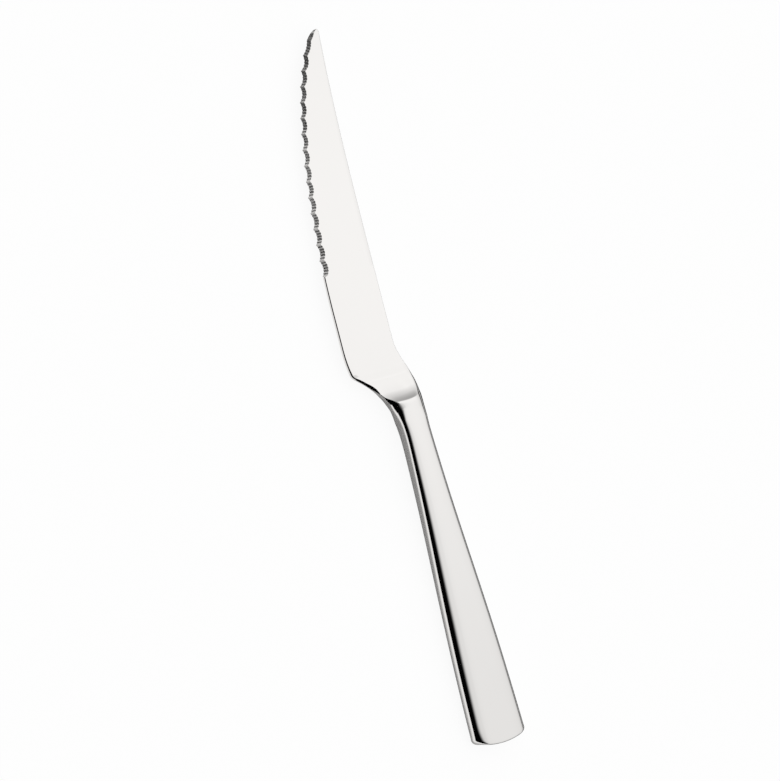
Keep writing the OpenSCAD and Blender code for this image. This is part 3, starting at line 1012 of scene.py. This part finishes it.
class KNIFE_OT_stage(bpy.types.Operator):
    """Set up the floor, the studio's light and the camera"""

    bl_idname = "knife.stage"
    bl_label = "Stage"

    def execute(self, context):
        scene = context.scene
        self.floor(scene)
        self.tent(scene)
        self.camera(scene)
        scene.view_settings.view_transform = "Standard"
        return {"FINISHED"}

    def floor(self, scene):
        """A pale card, white to the camera but for the knife's faint shadow. The steel mirrors a
        painted shadow under the knife.
        """
        bm = bmesh.new()
        bmesh.ops.create_grid(bm, x_segments=1, y_segments=1, size=FLOOR_HALF)
        mesh = bpy.data.meshes.new("floor")
        bm.to_mesh(mesh)
        bm.free()
        floor = bpy.data.objects.new("floor", mesh)
        scene.collection.objects.link(floor)
        material = bpy.data.materials.new("floor")
        graph = Graph(material)
        seen, glossy, through = rays(graph, "Camera", "Glossy", "Transmission")
        mirrored = glossy + through
        across = axes(graph, "Object")[1]
        # Painted shadow: near the knife the steel mirrors a darkened card instead of the white
        # floor, darkest on the side of the back
        clear = levels(graph, across, WHITE_OUTSIDE_PAINTED_SHADOW, PAINTED_SHADOW_SPAN)
        painted_shadow = levels(graph, across, PAINTED_SHADOW_DARKNESS, PAINTED_SHADOW_SPAN)
        card_grey_with_painted_shadow = tint(graph, mirrored * painted_shadow, FLOOR_GREY, (0, 0, 0))
        card = graph.add("ShaderNodeBsdfDiffuse", inputs={"Color": card_grey_with_painted_shadow})
        white = graph.add("ShaderNodeEmission", inputs={"Color": WHITE, "Strength": 1.0})
        share = seen * SEEN_FLOOR + mirrored * clear * MIRRORED_FLOOR
        mixed = graph.add(
            "ShaderNodeMixShader", inputs={0: share, 1: card.outputs[0], 2: white.outputs[0]}
        )
        graph.add("ShaderNodeOutputMaterial", inputs={"Surface": mixed.outputs[0]})
        mesh.materials.append(material)

    def tent(self, scene):
        """A light tent over the knife, open on the cutting edge's side, where the room is dark."""
        world = bpy.data.worlds.new("light tent")
        scene.world = world
        world.cycles.sampling_method = "NONE"
        graph = Graph(world)
        seen, glossy = rays(graph, "Camera", "Glossy")
        along, side, up = axes(graph, "Generated")
        turn = graph.wire("ShaderNodeMath", {"operation": "ARCTAN2"}, {0: side, 1: up})
        across = levels(graph, turn * math.degrees(1), TENT_ACROSS, 360)
        light = across * levels(graph, along, TENT_ALONG, 2)
        unseen = 1 - seen
        level = seen + light * glossy * unseen + light * LAMP_LEVEL * (1 - glossy) * unseen
        background = graph.add("ShaderNodeBackground", inputs={"Color": WHITE, "Strength": level})
        graph.add("ShaderNodeOutputWorld", inputs={"Surface": background.outputs[0]})

    def camera(self, scene):
        """Sets the camera square to the leaning view, with tip and butt placed as in the photo."""
        finish = scene.knife_finish
        roll, lean = finish.roll, finish.lean
        outward = Vector((0, math.sin(roll), math.cos(roll)))
        edgewise = Vector((0, math.cos(roll), -math.sin(roll)))
        along = Vector((1, 0, 0))
        right = -math.sin(lean) * along - math.cos(lean) * edgewise
        up = math.cos(lean) * along - math.sin(lean) * edgewise
        tip = Form(scene).laid() @ Vector((0, 0, 0))
        centre = Vector((PHOTO_W / 2, PHOTO_H / 2))
        off = (TIP_PIXEL - centre) / PIXELS_PER_METRE
        aim = tip - right * off.x + up * off.y
        data = bpy.data.cameras.new("camera")
        data.sensor_fit = "HORIZONTAL"
        data.sensor_width = SENSOR
        data.lens = SENSOR * finish.distance * PIXELS_PER_METRE / PHOTO_W
        data.clip_start = 10 * MM
        camera = bpy.data.objects.new("camera", data)
        turn = Matrix((right, up, outward)).transposed().to_4x4()
        camera.matrix_world = Matrix.Translation(aim + outward * finish.distance) @ turn
        scene.collection.objects.link(camera)
        scene.camera = camera


class KNIFE_PT_panel(bpy.types.Panel):
    """Steps that build the knife, in order"""

    bl_label = "Steak knife"
    bl_idname = "KNIFE_PT_panel"
    bl_space_type = "VIEW_3D"
    bl_region_type = "UI"
    bl_category = "Knife"

    def draw(self, context):
        for operator in OPERATORS:
            self.layout.operator(operator.bl_idname)


GROUPS = (
    ("knife_blade", KnifeBladeSizes),
    ("knife_handle", KnifeHandleSizes),
    ("knife_finish", KnifeFinish),
)
OPERATORS = (KNIFE_OT_blade, KNIFE_OT_handle, KNIFE_OT_filling, KNIFE_OT_stage)


def register():
    for name, group in GROUPS:
        bpy.utils.register_class(group)
        setattr(bpy.types.Scene, name, PointerProperty(type=group))
    for operator in OPERATORS:
        bpy.utils.register_class(operator)
    bpy.utils.register_class(KNIFE_PT_panel)


def unregister():
    bpy.utils.unregister_class(KNIFE_PT_panel)
    for operator in reversed(OPERATORS):
        bpy.utils.unregister_class(operator)
    for name, group in reversed(GROUPS):
        delattr(bpy.types.Scene, name)
        bpy.utils.unregister_class(group)


def main():
    register()
    bpy.ops.knife.blade()
    bpy.ops.knife.handle()
    bpy.ops.knife.filling()
    bpy.ops.knife.stage()


if __name__ == "__main__":
    main()
